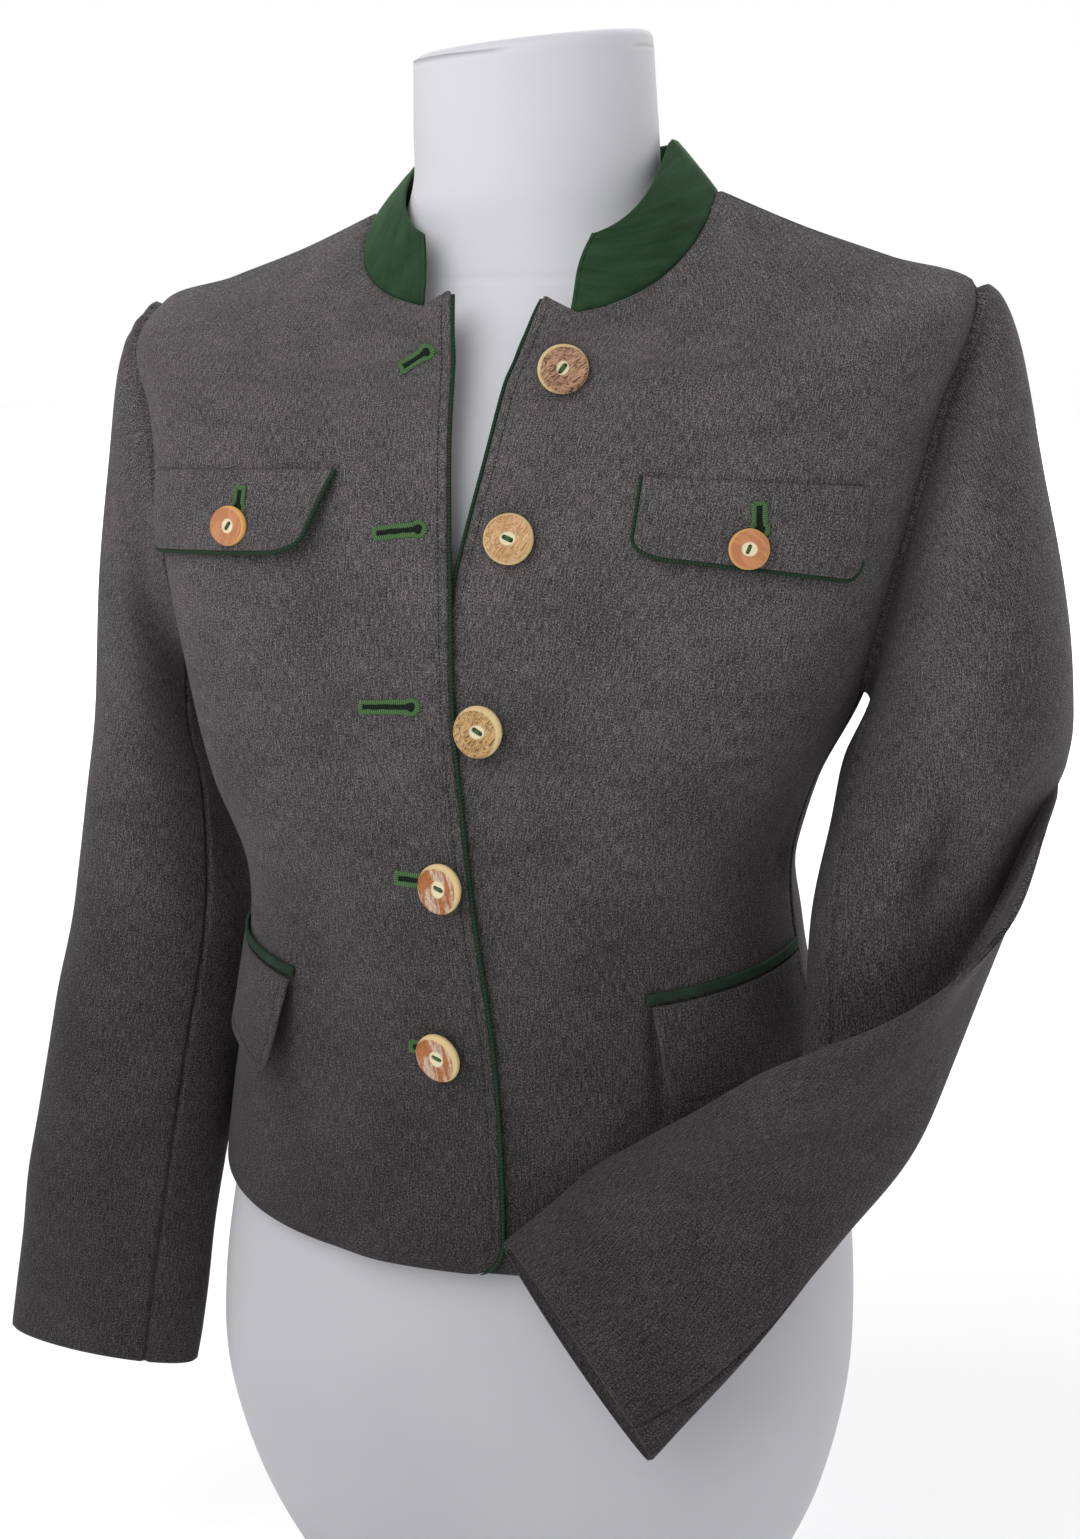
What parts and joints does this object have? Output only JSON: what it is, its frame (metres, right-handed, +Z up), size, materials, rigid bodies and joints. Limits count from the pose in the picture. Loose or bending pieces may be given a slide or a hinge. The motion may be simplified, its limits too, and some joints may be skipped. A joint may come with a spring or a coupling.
{
  "type": "tyrolean loden jacket on a limbless dress form",
  "caption": "Short fitted jacket with a green stand collar, flap pockets and horn buttons, its left sleeve bent across the front, on a white limbless dress form.",
  "frame": {"origin": "centre of the dress form's flat underside", "axes": "+Z up, the jacket's front faces -Y, the wearer's left is +X"},
  "size_m": [0.5819, 0.3052, 0.8458],
  "materials": {
    "charcoal_loden": "fulled charcoal melange wool, matte",
    "green_felt": "green wool felt, matte",
    "dark_green_piping": "dark green cord, matte",
    "antler_button": "cut antler, satin",
    "form_cover": "smooth white jersey cover over a hard form, matte"
  },
  "bodies": {
    "root": {"front_right": "charcoal_loden", "back_right": "charcoal_loden", "sleeve_right_top": "charcoal_loden", "sleeve_right_under": "charcoal_loden", "chest_flap_right": "charcoal_loden", "hip_flap_right": "charcoal_loden", "hip_welt_right": "green_felt", "piping_front_right": "dark_green_piping", "piping_chest_right": "dark_green_piping", "flap_button_right": "antler_button", "front_left": "charcoal_loden", "back_left": "charcoal_loden", "sleeve_left_top": "charcoal_loden", "sleeve_left_under": "charcoal_loden", "chest_flap_left": "charcoal_loden", "hip_flap_left": "charcoal_loden", "hip_welt_left": "green_felt", "piping_front_left": "dark_green_piping", "piping_chest_left": "dark_green_piping", "flap_button_left": "antler_button", "collar": "green_felt", "button_1": "antler_button", "button_2": "antler_button", "button_3": "antler_button", "button_4": "antler_button", "button_5": "antler_button", "dress_form": "form_cover"}
  },
  "joints": []
}
